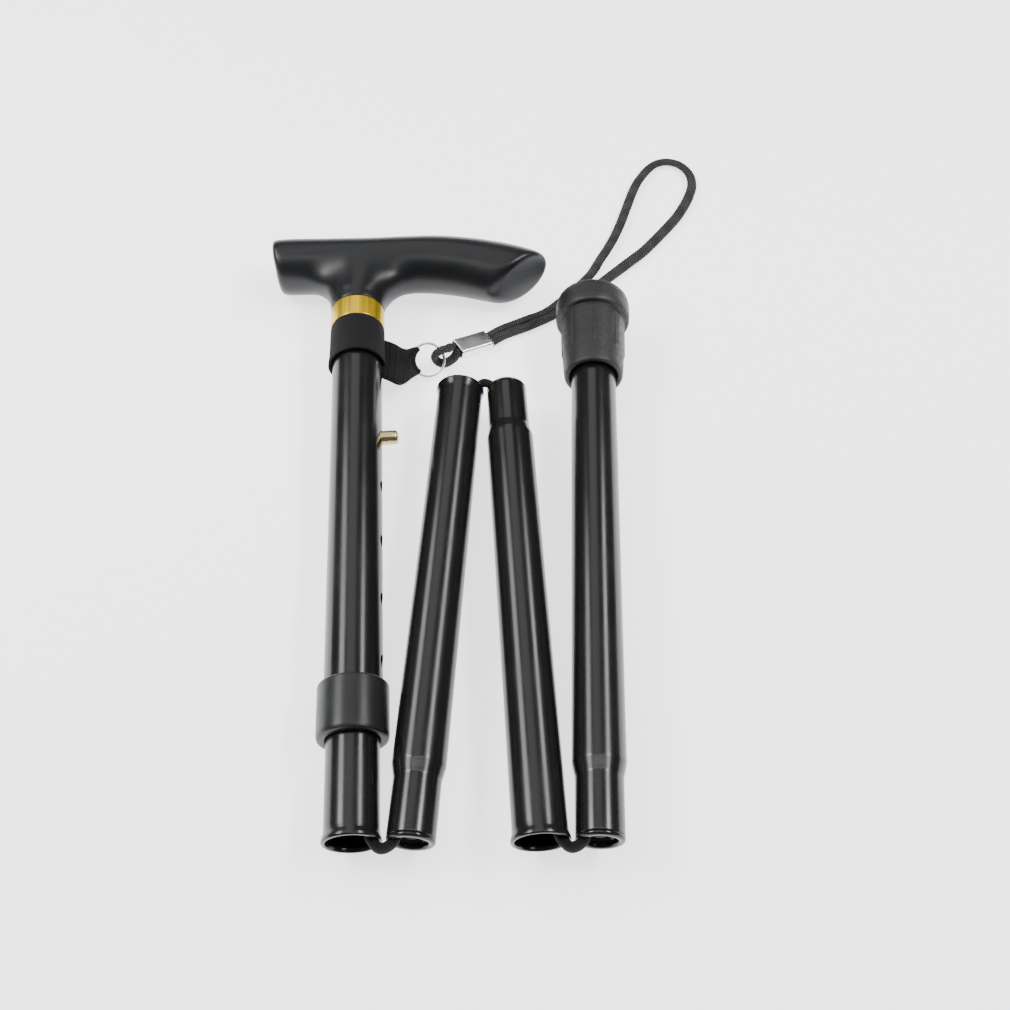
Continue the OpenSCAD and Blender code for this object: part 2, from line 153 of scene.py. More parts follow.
ON_STEM = section(STEM_X, STEM_LEAN)
ON_SECTION = {
    2: section(SECTION_2_X, SECTION_2_LEAN),
    3: section(SECTION_3_X, SECTION_3_LEAN) @ shift(0, 0, SECTION_3_LEN) @ rotated(180, "Y"),
    4: section(SECTION_4_X, SECTION_4_LEAN),
}
RING_AT = Vector((-34.5, 220, 6.6))
RING_TILT = 45
RING_MAJOR_R = 7.3
RING_WIRE_R = 0.6
ON_RING = ROW @ Matrix.Translation(RING_AT) @ rotated(RING_TILT, "X")
CRIMP_AT = Vector((-14.8, 231.8, 3.95))
CRIMP_HEADING = 32
CRIMP_DIP = 11
ON_CRIMP = (
    ROW @ Matrix.Translation(CRIMP_AT) @ rotated(CRIMP_HEADING, "Z") @ rotated(CRIMP_DIP, "Y")
)


# ---- camera ----
def make_camera():
    camera = bpy.data.cameras.new("camera")
    camera.lens = 40.07
    camera.sensor_width = 36
    camera.clip_start = 0.01
    placed = bpy.data.objects.new("camera", camera)
    placed.location = (0.02675, -0.26092, 0.3821)
    placed.rotation_euler = (math.radians(34.88), 0, 0)
    bpy.context.scene.collection.objects.link(placed)
    bpy.context.scene.camera = placed


make_camera()


# ---- material helpers ----
class Look:
    """A principled material with short calls for the procedural nodes that drive it."""

    def __init__(self, name, **values):
        self.material = bpy.data.materials.new(name)
        self.material.use_nodes = True
        self.nodes = self.material.node_tree.nodes
        self.links = self.material.node_tree.links
        self.shader = self.nodes["Principled BSDF"]
        for socket, value in values.items():
            self.shader.inputs[socket.replace("_", " ")].default_value = value

    def math(self, operation, *values):
        """A math node; each value is a number or another node's output."""
        node = self.nodes.new("ShaderNodeMath")
        node.operation = operation
        for value, socket in zip(values, node.inputs):
            if isinstance(value, (int, float)):
                socket.default_value = value
            else:
                self.links.new(value, socket)
        return node.outputs[0]

    def place(self):
        """Object coordinates, in metres."""
        return self.nodes.new("ShaderNodeTexCoord").outputs["Object"]

    def uv(self):
        """The two UV coordinates: round the piece and, in millimetres, along it."""
        split = self.nodes.new("ShaderNodeSeparateXYZ")
        self.links.new(self.nodes.new("ShaderNodeTexCoord").outputs["UV"], split.inputs[0])
        return split.outputs[0], split.outputs[1]

    def uv_place(self, across, along):
        """UV coordinates as a vector, scaled each way."""
        mapping = self.nodes.new("ShaderNodeMapping")
        mapping.inputs["Scale"].default_value = (across, along, 1)
        self.links.new(self.nodes.new("ShaderNodeTexCoord").outputs["UV"], mapping.inputs[0])
        return mapping.outputs[0]

    def noise(self, where, scale, detail=3):
        node = self.nodes.new("ShaderNodeTexNoise")
        node.inputs["Scale"].default_value = scale
        node.inputs["Detail"].default_value = detail
        self.links.new(where, node.inputs["Vector"])
        return node.outputs[0]

    def ranged(self, value, low, high):
        """A noise's usual values, 0.3 to 0.7, spread from low to high."""
        node = self.nodes.new("ShaderNodeMapRange")
        for socket, number in zip(node.inputs[1:5], (0.3, 0.7, low, high)):
            socket.default_value = number
        self.links.new(value, node.inputs[0])
        return node.outputs[0]

    def colour(self, factor, first, second):
        """Base colour from first, where factor is 0, to second, where it is 1."""
        node = self.nodes.new("ShaderNodeMix")
        node.data_type = "RGBA"
        self.links.new(factor, node.inputs["Factor"])
        node.inputs[6].default_value = (*first, 1)
        node.inputs[7].default_value = (*second, 1)
        self.links.new(node.outputs[2], self.shader.inputs["Base Color"])

    def roughness(self, value, low, high):
        self.links.new(self.ranged(value, low, high), self.shader.inputs["Roughness"])

    def bump(self, height, depth_mm, strength=1.0):
        """Adds a bump on top of the ones before it."""
        node = self.nodes.new("ShaderNodeBump")
        node.inputs["Strength"].default_value = strength
        node.inputs["Distance"].default_value = depth_mm * MM
        self.links.new(height, node.inputs["Height"])
        normal = self.shader.inputs["Normal"]
        if normal.is_linked:
            self.links.new(normal.links[0].from_socket, node.inputs["Normal"])
        self.links.new(node.outputs[0], normal)


def painted_metal(name, dark, light, low, high):
    """Glossy black tube: an even coat with faint drawn streaks along it."""
    look = Look(name, IOR=1.5)
    streaks = look.noise(look.uv_place(0.8, 0.012), 1.0, 3)
    look.colour(streaks, dark, light)
    look.roughness(look.noise(look.place(), 45, 3), low, high)
    return look.material


def moulded_plastic(name, dark, light, low, high):
    """Moulded plastic with a fine grain and slow changes of sheen."""
    look = Look(name, IOR=1.5, Specular_IOR_Level=0.35)
    slow = look.noise(look.place(), 60, 3)
    look.colour(slow, dark, light)
    look.roughness(slow, low, high)
    look.bump(look.noise(look.place(), 2600, 2), 0.02, 0.6)
    look.bump(look.noise(look.place(), 220, 2), 0.03, 0.4)
    return look.material


def rubber(name):
    """Ferrule rubber: matt, with bloom, fine pits and faint mould marks."""
    look = Look(name, IOR=1.5)
    bloom = look.noise(look.place(), 90, 4)
    look.colour(bloom, (0.005, 0.0052, 0.0055), (0.012, 0.0123, 0.0127))
    look.roughness(look.noise(look.place(), 400, 3), 0.44, 0.62)
    look.bump(look.noise(look.place(), 1800, 3), 0.05, 0.7)
    look.bump(look.noise(look.place(), 260, 2), 0.08, 0.5)
    return look.material


def bright_metal(name, dark, light, low, high, brushed=None, metallic=1.0):
    """Plated or anodised metal; brushed is how fine its streaks are, round it and along it."""
    look = Look(name, Metallic=metallic)
    if brushed:
        marks = look.noise(look.uv_place(*brushed), 1.0, 4)
    else:
        marks = look.noise(look.place(), 120, 2)
    look.colour(marks, dark, light)
    look.roughness(marks, low, high)
    look.bump(marks, 0.001, 0.5)
    return look.material


def braid(name, round_count, cell_mm, dark, light):
    """Braided cover: two sets of strands cross at each cell, one over the other by turns. Its
    colour holds painted shade between the strands and painted highlight on their crowns.
    """
    look = Look(name, Roughness=0.7, Specular_IOR_Level=0.3)
    across, along = look.uv()
    turn = look.math("MULTIPLY", across, round_count)
    rise = look.math("DIVIDE", along, cell_mm)
    first = look.math("ADD", turn, rise)
    second = look.math("SUBTRACT", turn, rise)
    arches = [
        look.math("SINE", look.math("MULTIPLY", look.math("FRACT", line), math.pi))
        for line in (first, second)
    ]
    cells = look.math("ADD", look.math("FLOOR", first), look.math("FLOOR", second))
    upper = look.math("PINGPONG", cells, 1.0)
    lower = look.math("SUBTRACT", 1.0, upper)
    crowns = []
    for arch, other in (arches, arches[::-1]):
        steep = look.math("POWER", arch, CROWN_POWER)
        dip = look.math("ADD", CROWN_DIP, look.math("MULTIPLY", other, 1 - CROWN_DIP))
        crowns.append(look.math("MULTIPLY", steep, dip))
    first_up = look.math("MULTIPLY", crowns[0], upper)
    second_up = look.math("MULTIPLY", crowns[1], lower)
    height = look.math("ADD", first_up, second_up)
    fluff = look.noise(look.place(), 3200, 3)
    # Base colour: painted highlight on the strands' crowns and painted shade between them, with the fluff's
    # own random tone
    look.colour(look.math("MULTIPLY", height, look.ranged(fluff, 0.7, 1.0)), dark, light)
    look.bump(height, 0.22)
    look.bump(fluff, 0.05, 0.5)
    return look.material


def knit(name):
    """Ribbed elastic webbing: a fine grid of stitches, with ribs along its width. Its colour holds
    painted shade in the gaps between stitches and painted highlight on their tops.
    """
    look = Look(name, Roughness=0.9, Specular_IOR_Level=0.2, Sheen_Weight=0.04, Sheen_Roughness=0.5)
    across, along = look.uv()
    stitch = [
        look.math("ABSOLUTE", look.math("SINE", look.math("MULTIPLY", value, math.pi / pitch)))
        for value, pitch in ((across, 0.55), (along, 0.5))
    ]
    grid = look.math("MULTIPLY", stitch[0], stitch[1])
    ribs = look.math("ABSOLUTE", look.math("SINE", look.math("MULTIPLY", across, math.pi / 1.1)))
    height = look.math("ADD", look.math("MULTIPLY", grid, 0.65), look.math("MULTIPLY", ribs, 0.35))
    fluff = look.noise(look.place(), 2600, 4)
    # Painted highlight on the stitches' tops and ribs and painted shade in the gaps between them, with the
    # fluff's own random tone
    shade = look.math("MULTIPLY", height, look.ranged(fluff, 0.6, 1.0))
    look.colour(shade, (0.0015, 0.0015, 0.002), (0.018, 0.0185, 0.02))
    look.bump(height, 0.16)
    look.bump(fluff, 0.08, 0.6)
    return look.material


def floor_material():
    look = Look("floor_pale", Roughness=0.9, Emission_Color=(0.96, 0.97, 1.0, 1), Emission_Strength=1.9)
    look.colour(look.noise(look.place(), 40, 3), (0.93, 0.94, 0.965), (0.95, 0.955, 0.975))
    return look.material


LOOKS = {
    name: recipe(name, *values)
    for name, recipe, *values in (
        ("tube_black", painted_metal, (0.003, 0.003, 0.0032), (0.006, 0.006, 0.006), 0.2, 0.27),
        ("handle_black", moulded_plastic, (0.005, 0.0053, 0.0062), (0.009, 0.0093, 0.0105), 0.3, 0.4),
        ("collar_grey", moulded_plastic, (0.008, 0.0085, 0.009), (0.014, 0.0145, 0.015), 0.3, 0.4),
        ("plastic_black", moulded_plastic, (0.006, 0.006, 0.006), (0.012, 0.012, 0.012), 0.14, 0.24),
        ("plastic_grey", moulded_plastic, (0.16, 0.16, 0.165), (0.22, 0.22, 0.225), 0.4, 0.5),
        ("rubber_black", rubber),
        ("gold", bright_metal, (0.6, 0.3, 0.01), (1.0, 0.76, 0.03), 0.28, 0.4, (1.0, 0.02), 0.88),
        ("brass", bright_metal, (0.46, 0.36, 0.17), (0.66, 0.55, 0.3), 0.2, 0.34, (3.0, 0.6)),
        ("nickel", bright_metal, (0.76, 0.75, 0.72), (0.86, 0.85, 0.83), 0.25, 0.32),
        ("steel", bright_metal, (0.42, 0.42, 0.43), (0.6, 0.6, 0.61), 0.25, 0.4),
        ("knit_black", knit),
        # braid_black and elastic_black: the dark colour is painted shade between strands, the light one
        # painted highlight on their crowns
        ("braid_black", braid, BRAID_STRANDS, BRAID_CELL, (0.0006, 0.0006, 0.0006), (0.07, 0.07, 0.072)),
        ("elastic_black", braid, 12, 1.0, (0.001, 0.001, 0.001), (0.008, 0.008, 0.009)),
    )
}


# ---- shape helpers ----
def make_object(name, grid, look, closed_round=True, closed_along=False, uv_width=1.0):
    """A mesh through a grid of points [along][round], each in metres. Its UVs run from 0 to
    uv_width round it and in millimetres along it."""
    rows, columns = len(grid), len(grid[0])
    bm = bmesh.new()
    verts = [[bm.verts.new(point) for point in row] for row in grid]
    layer = bm.loops.layers.uv.new("UVMap")
    along = [0.0]
    for i in range(1, rows + 1):
        step = (Vector(grid[i % rows][0]) - Vector(grid[i - 1][0])).length / MM
        along.append(along[-1] + step)
    spread = columns if closed_round else columns - 1
    for i in range(rows if closed_along else rows - 1):
        for k in range(spread):
            ring = [(i, k), (i, k + 1), (i + 1, k + 1), (i + 1, k)]
            corners = [verts[a % rows][b % columns] for a, b in ring]
            if len({tuple(round(c / MM, 4) for c in corner.co) for corner in corners}) < 3:
                continue
            face = bm.faces.new(corners)
            face.smooth = True
            for loop, (a, b) in zip(face.loops, ring):
                loop[layer].uv = (uv_width * b / spread, along[a])
    bmesh.ops.remove_doubles(bm, verts=bm.verts, dist=WELD * MM)
    bmesh.ops.recalc_face_normals(bm, faces=bm.faces)
    return finish_mesh(name, bm, look)


def finish_mesh(name, bm, look):
    """Puts the built mesh in the scene, with its material and its sharp edges marked."""
    mesh = bpy.data.meshes.new(name)
    bm.to_mesh(mesh)
    bm.free()
    mesh.set_sharp_from_angle(angle=SHARP_ANGLE)
    mesh.materials.append(LOOKS[look])
    made = bpy.data.objects.new(name, mesh)
    bpy.context.scene.collection.objects.link(made)
    return made


def settle(made, body, look, *stands_for):
    """Gives a piece its body and hides the CAD nodes that it stands for."""
    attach(made, body)
    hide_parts(*stands_for)


def rounded(outline, radius):
    """A closed outline with each corner cut back by up to radius and rounded."""
    steps = 4
    points = [Vector(p) for p in outline]
    made = []
    for i, corner in enumerate(points):
        before, after = points[i - 1] - corner, points[(i + 1) % len(points)] - corner
        start = corner + before.normalized() * min(radius, 0.45 * before.length)
        end = corner + after.normalized() * min(radius, 0.45 * after.length)
        for k in range(steps + 1):
            t = k / steps
            made.append((1 - t) ** 2 * start + 2 * t * (1 - t) * corner + t * t * end)
    return made


def turned(name, outline, place, look, radius=0.3, sides=96, swell=None, step=None):
    """A closed outline of [radius, height] points turned about Z, its corners rounded by radius.
    swell(angle, r, z) moves the surface out, and step adds rows along the long straight runs."""
    line = rounded(outline, radius)
    if step:
        line = filled(line, step)
    grid = []
    for r, z in line:
        row = []
        for k in range(sides):
            angle = TURN * k / sides
            out = r + (swell(angle, r, z) if swell else 0)
            row.append(place @ Vector((out * math.sin(angle), -out * math.cos(angle), z)))
        grid.append(row)
    girth = max(r for r, _ in line) * TURN
    return make_object(name, grid, look, True, True, girth)


def filled(line, step):
    """The closed line with points added so that none of its runs is longer than step."""
    made = []
    for i, start in enumerate(line):
        end = line[(i + 1) % len(line)]
        count = max(1, math.ceil((end - start).length / step))
        made += [start.lerp(end, k / count) for k in range(count)]
    return made


def catmull(points, steps):
    """A smooth line through the points, with steps pieces from each to the next."""
    points = [Vector(p) for p in points]
    last = len(points) - 1
    made = []
    for i in range(last):
        a, b = points[max(i - 1, 0)], points[i]
        c, d = points[i + 1], points[min(i + 2, last)]
        for k in range(steps):
            t = k / steps
            square = (2 * a - 5 * b + 4 * c - d) * t * t
            cube = (3 * b - a - 3 * c + d) * t ** 3
            made.append(0.5 * (2 * b + (c - a) * t + square + cube))
    return made + [points[last]]


def frames_along(path, up):
    """For each point of the path, the two directions across it, carried along without twist."""
    side = None
    made = []
    for i in range(len(path)):
        ahead = (path[min(i + 1, len(path) - 1)] - path[max(i - 1, 0)]).normalized()
        level = ahead.cross(Vector(up)) if side is None else side - ahead * side.dot(ahead)
        side = level.normalized()
        made.append((side, side.cross(ahead)))
    return made


def swept(name, path, profile, place, look, up, sides):
    """A tube along the path; profile(i, angle) gives its two offsets across it. Its ends close
    to a point through two smaller rings."""
    across = frames_along(path, up)
    grid = []
    for i, (point, (side, rise)) in enumerate(zip(path, across)):
        row = []
        for k in range(sides):
            a, b = profile(i, TURN * k / sides)
            row.append(place @ (point + side * a + rise * b))
        grid.append(row)
    for end in (0, -1):
        centre = place @ path[end]
        rings = [[corner.lerp(centre, share) for corner in grid[end]] for share in (0.35, 1.0)]
        grid = rings[::-1] + grid if end == 0 else grid + rings
    return make_object(name, grid, look)


def evaluated(made, *modifiers):
    """Applies the modifiers, given as (type, settings), to the object's mesh."""
    for kind, settings in modifiers:
        modifier = made.modifiers.new(kind.title(), kind)
        for name, value in settings.items():
            setattr(modifier, name, value)
    bpy.context.view_layer.update()
    graph = bpy.context.evaluated_depsgraph_get()
    mesh = bpy.data.meshes.new_from_object(made.evaluated_get(graph))
    made.modifiers.clear()
    made.data = mesh


# ---- lanyard ----
# The route from the crimp past the ferrule, round the wrist loop, back through the crimp,
# round the split ring and into the crimp again, as the CAD part has it
LANYARD_ROUTE = [
    (-16, 233.4, 4), (-9, 237.7, 2.4), (-2, 243.2, 2), (9, 249, 2), (21, 256, 2),
    (39.5, 277, 2), (46, 289, 2), (52, 301, 2), (57.5, 315, 2), (65.5, 340, 2),
    (70.5, 351, 2), (77, 360, 2), (84, 363, 2), (91, 360.5, 2), (95.5, 353, 2),
    (96, 344, 2), (93.5, 335.5, 2), (90, 327.5, 2), (84, 317, 2), (69.5, 297.5, 2),
    (61, 288.5, 2), (43, 270.5, 2), (33, 261, 2), (23, 252.5, 2), (11, 245.2, 2),
    (0, 239.8, 2), (-7, 234.4, 2.4), (-13.8, 230.2, 3.9), (-20.6, 225.9, 5.5), (-23.6, 223.2, 3.9),
    (-27.3, 221.6, 2.7), (-30, 221.2, 4.2), (-31.3, 220.6, 7.2), (-30.9, 219.9, 10.4), (-28.5, 220.5, 12.4),
    (-26.8, 221.4, 12.2), (-25.2, 223.2, 10.8), (-24.6, 226.4, 8.2), (-22.7, 229.2, 5.5), (-16.6, 233.1, 4.1),
]


def even(path, step):
    """The same line with its points spaced evenly, step apart or a little less."""
    lengths = [0.0]
    for a, b in zip(path, path[1:]):
        lengths.append(lengths[-1] + (b - a).length)
    count = math.ceil(lengths[-1] / step)
    made, k = [], 0
    for i in range(count + 1):
        at = lengths[-1] * i / count
        while k < len(path) - 2 and lengths[k + 1] < at:
            k += 1
        share = (at - lengths[k]) / max(lengths[k + 1] - lengths[k], 1e-9)
        made.append(path[k].lerp(path[k + 1], min(share, 1)))
    return made


def strand_height(round_share, along_mm):
    """How far the braid's surface stands out, from 0 between strands to 1 on a strand's crown."""
    first = round_share * BRAID_STRANDS + along_mm / BRAID_CELL
    second = round_share * BRAID_STRANDS - along_mm / BRAID_CELL
    arch, other = (math.sin(math.pi * (line % 1)) for line in (first, second))
    if (math.floor(first) + math.floor(second)) % 2:
        arch, other = other, arch
    return max(arch, 0) ** CROWN_POWER * (CROWN_DIP + (1 - CROWN_DIP) * max(other, 0))


def make_lanyard():
    """Flat braided cord: a soft oval, its strands raised, flat side up on the floor."""
    step = 0.31
    path = even(catmull(LANYARD_ROUTE, 12), step)
    narrow, half_thick, relief = 2.1, 1.7, 0.45
    # The wrist loop's far part lies flatter: it widens from this far up the row, over this run
    widening, widens_from, widens_over = 0.45, 262, 20

    def oval(i, angle):
        grow = relief * (strand_height(angle / TURN, i * step) - 0.7)
        half_wide = narrow + widening * clamped((path[i].y - widens_from) / widens_over)
        return (half_wide + grow) * math.cos(angle), (half_thick + grow) * math.sin(angle)

    cord = swept("lanyard_braid", path, oval, ROW, "braid_black", (0, 0.4, 0.92), 40)
    settle(cord, "stem", "braid_black", "lanyard_cord")
    in_row = [ROW @ p for p in path]
    return cord, in_row


def make_crimp():
    """Flat sleeve of folded metal with a seam along its lower side and rolled ends."""
    half_w, half_h, corner, wall, length = 4.9, 2.45, 1.3, 0.45, 16.5
    seam_at, seam_depth, girth = 270, 0.25, 24
    outline = []
    for turn, (x, y) in enumerate(((1, 1), (-1, 1), (-1, -1), (1, -1))):
        centre = Vector((x * (half_w - corner), y * (half_h - corner)))
        for k in range(7):
            outline.append((centre, 90 * turn + 15 * k))

    def row(x, grow):
        points = []
        for centre, angle in outline:
            out = corner + grow
            if angle == seam_at:
                out -= seam_depth
            y, z = centre.x + out * cosine(angle), centre.y + out * sine(angle)
            points.append(ON_CRIMP @ Vector((x, y, z)))
        return points

    half = length / 2
    shape = [
        (-half, -wall), (-half, -wall * 0.5), (-half, -0.08), (-half + 0.12, 0), (-half + 0.8, 0.02),
        (-half * 0.5, -0.05), (0, -0.1), (half * 0.5, -0.05),
        (half - 0.8, 0.02), (half - 0.12, 0), (half, -0.08), (half, -wall * 0.5), (half, -wall),
        (half * 0.5, -wall - 0.05), (0, -wall - 0.1), (-half * 0.5, -wall - 0.05),
    ]
    crimp = make_object("crimp_sleeve", [row(x, g) for x, g in shape], "nickel", True, True, girth)
    settle(crimp, "stem", "nickel", "lanyard_crimp")
    return crimp


def make_split_ring():
    """Two turns of flattened wire that step across where the turns meet."""
    offset, free, count = 0.54, 0.32, 260
    ends_at, half_crossing = 2.2, 0.28
    path = []
    for i in range(count + 1):
        angle = free + (2 * TURN - 2 * free) * i / count
        step = clamped((angle - TURN + half_crossing) / (2 * half_crossing))
        height = -offset + 2 * offset * step * step * (3 - 2 * step)
        x, y = RING_MAJOR_R * math.cos(angle + ends_at), RING_MAJOR_R * math.sin(angle + ends_at)
        path.append(Vector((x, y, height)))

    def wire(_, angle):
        return RING_WIRE_R * math.cos(angle), 0.86 * RING_WIRE_R * math.sin(angle)

    ring = swept("split_ring_wire", path, wire, ON_RING, "nickel", (0, 0, 1), 14)
    settle(ring, "split_ring", "nickel", "split_ring")


# ---- strap ----
def make_strap_band():
    """Knitted band stretched round the stem; its lower edge flares and gapes a little."""
    outline = [
        (STEM_R + 0.02, STRAP_TOP - 0.2), (STEM_R + 0.05, STRAP_BOTTOM + 6),
        (STEM_R + 0.7, STRAP_BOTTOM), (STEM_R + 1.9, STRAP_BOTTOM - 0.1),
        (STEM_R + 1.5, STRAP_BOTTOM + 6), (STEM_R + 1.35, STRAP_TOP - 4), (STEM_R + 1.25, STRAP_TOP),
    ]

    def swell(angle, r, z):
        outer = 1 if r > STEM_R + 0.9 else 0.3
        slack = max(0, (STRAP_BOTTOM + 9 - z) / 9)
        return outer * 0.16 * math.sin(3 * angle + 0.7) * slack + 0.05 * outer * math.sin(7 * angle)

    band = turned("strap_webbing", outline, ON_STEM, "knit_black", 0.55, 120, swell, 1.0)
    settle(band, "stem", "knit_black", "strap_band")


def make_strap_tab():
    """Folded end of the webbing: it leaves the band, drops and wraps the split ring's wire."""
    thick, gap, wrap_r, girth = 1.3, 0.85, 1.25, 36
    rows, columns = 40, 25
    ring_axis = Vector((0, -sine(RING_TILT), cosine(RING_TILT)))
    grid = []
    for k in range(columns):
        t = k / (columns - 1)
        phi = math.radians(238 - 112 * t)
        rise = math.sin(phi)
        outward = Vector((math.cos(phi), rise * cosine(RING_TILT), rise * sine(RING_TILT)))
        wire = RING_AT + RING_MAJOR_R * outward
        ruffle = 0.5 * math.sin(2.6 * math.pi * t + 0.5)
        root = Vector((-55.5, 205.6 + 20.4 * t, 12.6 + 0.4 * ruffle))
        near = Vector((-50.2, 204.2 + 21.2 * t, 11.0 + 0.6 * ruffle))
        middle = Vector((-45.2, 204.0 + 20.2 * t, 8.0 + ruffle))
        late = middle.lerp(wire, 0.62) + Vector((0, 0.6 * (0.5 - t), 0.3 * ruffle))
        lift = Vector((0.35, -0.25, 0.9)).normalized() * gap
        front = [root + lift, near + lift, middle + lift, late + lift * 0.9 + ring_axis * 0.2]
        back = [late - lift * 0.9 - ring_axis * 0.2, middle - lift, near - lift, root - lift]
        wrap = [
            wire + wrap_r * (math.cos(a) * ring_axis - math.sin(a) * outward)
            for a in (math.radians(36 * n) for n in range(6))
        ]
        line = catmull(front + wrap + back, 8)
        spots = np.linspace(0, len(line) - 1, rows)
        grid.append([ROW @ line[round(s)] for s in spots])
    tab = make_object("strap_tab_webbing", grid, "knit_black", False, False, girth)
    evaluated(
        tab,
        ("SOLIDIFY", {"thickness": thick * MM, "offset": 0, "use_quality_normals": True}),
        ("SUBSURF", {"levels": 1, "render_levels": 1}),
    )
    settle(tab, "stem", "knit_black", "strap_tab")


# ---- handle ----
# Each station of the arm: across, up the stem, lean of the section, half height, half depth
ARM_STATIONS = [
    (-38.3, 274.4, -6, 10.8, 11.2), (-38.0, 274.4, -6, 11.9, 12.2), (-37.2, 274.4, -6, 12.6, 12.9),
    (-35.4, 274.4, -4, 12.9, 13.2), (-28, 274.2, 0, 12.9, 13.3), (-12, 272.9, 0, 12.9, 13.5),
    (6, 271.7, 0, 12.9, 13.6), (22, 271.0, 2, 13.1, 13.6), (36, 270.0, 6, 13.5, 13.6),
    (48.5, 267.6, 15, 13.9, 13.6), (58.5, 264.6, 28, 14.5, 13.6), (66.3, 261.7, 41, 15.4, 13.5),
    (71.3, 259.5, 50, 16.2, 13.2), (73.9, 258.3, 54, 16.1, 12.8), (75.1, 257.6, 56, 15.2, 12.0),
    (75.7, 257.3, 56, 13.6, 10.7),
]
# The neck that blends the arm into the stem: up the stem, half width, half depth, shift
NECK_STATIONS = [
    (242.0, 11.7, 11.7, 0), (242.4, 12.0, 12.0, 0), (246, 12.3, 12.1, 0), (250, 13.6, 12.3, 0.6),
    (253.5, 16.2, 12.3, 1.4), (256.5, 19.8, 12.0, 2.2), (259, 24.5, 11.0, 3), (262, 29, 9.5, 3),
]
# The neck's middle runs on up inside the arm, so its front meets the arm's front
COLUMN_STATIONS = [
    (243, 11.5, 11.5, 0), (250, 12.0, 12.6, 0), (258, 12.5, 13.2, 0.5), (266, 12, 13.5, 1),
    (272, 11, 13.5, 1), (277, 9, 12.6, 1),
]


def loft(bm, rings):
    """A closed body through the rings, with flat ends."""
    verts = [[bm.verts.new(p) for p in ring] for ring in rings]
    count = len(verts[0])
    for low, high in zip(verts, verts[1:]):
        for k in range(count):
            bm.faces.new((low[k], low[(k + 1) % count], high[(k + 1) % count], high[k]))
    bm.faces.new(verts[0])
    bm.faces.new(verts[-1])


def smoothed(mesh, weights, rounds):
    """Moves each vertex towards its neighbours' mean, by its own weight, a number of times."""
    co = np.zeros(len(mesh.vertices) * 3)
    mesh.vertices.foreach_get("co", co)
    co = co.reshape(-1, 3)
    ends = np.zeros(len(mesh.edges) * 2, int)
    mesh.edges.foreach_get("vertices", ends)
    ends = ends.reshape(-1, 2)
    count = np.bincount(ends.ravel(), minlength=len(co))[:, None]
    share = weights(co)[:, None]
    for _ in range(rounds):
        total = np.zeros_like(co)
        np.add.at(total, ends[:, 0], co[ends[:, 1]])
        np.add.at(total, ends[:, 1], co[ends[:, 0]])
        co += share * (total / count - co)
    mesh.vertices.foreach_set("co", co.ravel())
    mesh.update()


def make_handle():
    """Arm and neck run together, the crease between them smoothed away."""
    sides, cell = 64, 0.7
    arm = []
    for x, z, lean, high, deep in catmull([Vector(s) for s in ARM_STATIONS], 4):
        ring = []
        for k in range(sides):
            angle = TURN * k / sides
            rise = high * math.cos(angle)
            ring.append((x + rise * sine(lean), deep * math.sin(angle), z + rise * cosine(lean)))
        arm.append(ring)
    bm = bmesh.new()
    loft(bm, arm)
    for stations in (NECK_STATIONS, COLUMN_STATIONS):
        neck = []
        for z, wide, deep, aside in catmull([Vector(s) for s in stations], 4):
            neck.append([
                (aside + wide * math.cos(TURN * k / sides), deep * math.sin(TURN * k / sides), z)
                for k in range(sides)
            ])
        loft(bm, neck)
    bmesh.ops.recalc_face_normals(bm, faces=bm.faces)
    handle = finish_mesh("handle_moulding", bm, "handle_black")
    evaluated(handle, ("REMESH", {"mode": "VOXEL", "voxel_size": cell}))

    def crease(co):
        """Most at the meeting of arm and neck, and none at the trim ring."""
        near_neck = np.exp(-(((co[:, 2] - 260) / 9) ** 4) - (np.abs(co[:, 0] - 2) / 34) ** 4)
        below_trim = np.clip((co[:, 2] - 246) / 5, 0, 1)
        return 0.6 * near_neck * below_trim

    smoothed(handle.data, lambda co: np.full(len(co), 0.5), 3)
    smoothed(handle.data, crease, 240)
    handle.data.transform(ON_STEM)
    handle.data.polygons.foreach_set("use_smooth", [True] * len(handle.data.polygons))
    settle(handle, "stem", "handle_black", "handle_grip")


def make_trim_ring():
    """Anodised ring between the handle and the strap, its faces a little bowed."""
    radius = TRIM_R
    outline = [
        (STEM_R + 0.05, STRAP_TOP), (radius - 0.05, STRAP_TOP), (radius, STRAP_TOP + 0.6),
        (radius + 0.06, (STRAP_TOP + TRIM_TOP) / 2), (radius, TRIM_TOP - 0.6),
        (radius - 0.05, TRIM_TOP), (STEM_R + 0.05, TRIM_TOP),
    ]
    ring = turned("trim_ring_gold", outline, ON_STEM, "gold", 0.35, TUBE_SIDES)
    settle(ring, "stem", "gold", "trim_ring")


# ---- tubes ----
def lip_outline(mouth, up):
    """The rolled lip of a mouth, from the bore to the outside. up is 1 where the tube runs up
    from its mouth and -1 where it runs down."""
    flare_len = 4.2
    return [
        (r, mouth + up * z)
        for r, z in (
            (BORE_R, flare_len), (BORE_R, 1.4), (BORE_R + 0.4, 0), (FLARE_R - 0.35, 0),
            (FLARE_R, 0.5), (FLARE_R - 0.05, 1.3), (TUBE_R + 0.12, 3.0), (TUBE_R, flare_len),
        )
    ]


def cutter(z, reach):
    """A rod from the stem's axis out along +X, that bores the height hole at z."""
    bm = bmesh.new()
    along_x = shift(0, 0, z) @ rotated(90, "Y")
    bmesh.ops.create_cone(
        bm, cap_ends=True, segments=48, radius1=HOLE_R, radius2=HOLE_R, depth=reach,
        matrix=ON_STEM @ along_x @ shift(0, 0, reach / 2),
    )
    return finish_mesh("cutter", bm, "tube_black")


